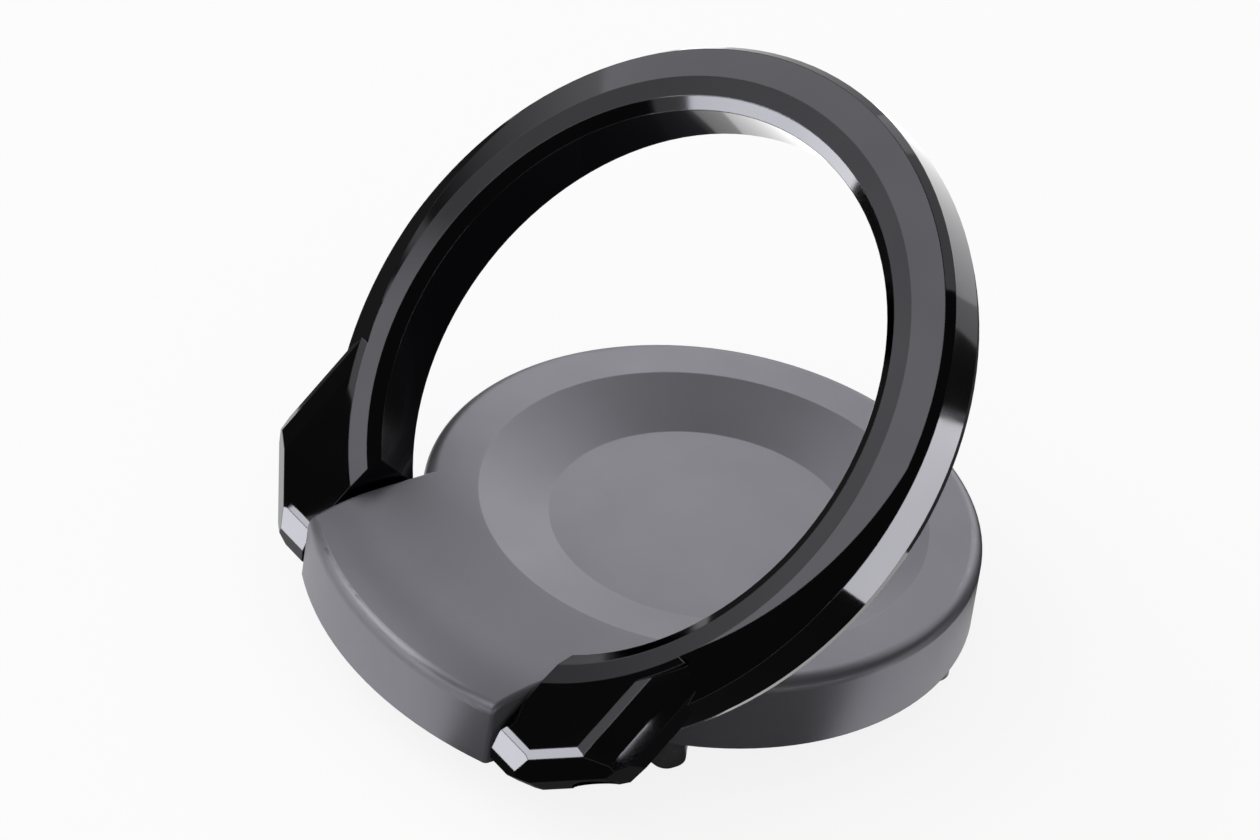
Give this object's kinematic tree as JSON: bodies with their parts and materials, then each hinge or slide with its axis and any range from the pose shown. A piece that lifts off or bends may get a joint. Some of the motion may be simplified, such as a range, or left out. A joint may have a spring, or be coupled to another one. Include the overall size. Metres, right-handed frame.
{
  "type": "phone ring holder",
  "caption": "Phone ring holder: a dished swivel disc on an adhesive foot, with a tongue that hinges a bevelled finger ring which folds flat round the disc.",
  "frame": {"origin": "middle of the adhesive face, on the swivel axis", "axes": "+X along the ring's hinge, -Y from the swivel axis to the tongue, +Z away from the phone; the ring stands open as in the picture"},
  "size_m": [0.0406, 0.0384, 0.0328],
  "materials": {
    "foam_tape": "matt foam tape",
    "plate_steel": "plated sheet",
    "slip_plastic": "plain acetal",
    "bright_steel": "turned",
    "spring_steel": "hardened",
    "cover_plastic": "fine grain",
    "soft_grey": "soft-touch matt",
    "dark_screw": "blackened",
    "foot_grey": "plain acetal",
    "sleeve_metal": "plain bronze",
    "pin_steel": "dark ground",
    "black_chrome": "black chrome, polished"
  },
  "bodies": {
    "foot": {"adhesive_pad": "foam_tape", "base_plate": "plate_steel", "slip_washer": "slip_plastic", "centre_rivet": "bright_steel", "disc_spring": "spring_steel", "keeper_washer": "bright_steel"},
    "disc": {"swivel_body": "soft_grey", "bottom_cover": "cover_plastic", "steel_plate": "plate_steel", "cover_screw_1": "dark_screw", "cover_screw_2": "dark_screw", "cover_screw_3": "dark_screw", "cover_screw_4": "dark_screw", "glide_foot_1": "foot_grey", "glide_foot_2": "foot_grey", "glide_foot_3": "foot_grey", "glide_foot_4": "foot_grey", "friction_sleeve_right": "sleeve_metal", "friction_sleeve_left": "sleeve_metal"},
    "ring": {"finger_ring": "black_chrome", "hinge_pin_right": "pin_steel", "hinge_pin_left": "pin_steel"}
  },
  "joints": [
    {"name": "swivel", "type": "hinge", "parent": "foot", "child": "disc", "pos_m": [0, 0, 0.0026], "axis": [0, 0, 1], "continuous": true},
    {"name": "ring_hinge", "type": "hinge", "parent": "disc", "child": "ring", "pos_m": [0, -0.01735, 0.00453], "axis": [1, 0, 0], "range_deg": [-46.3, 133.7]}
  ]
}
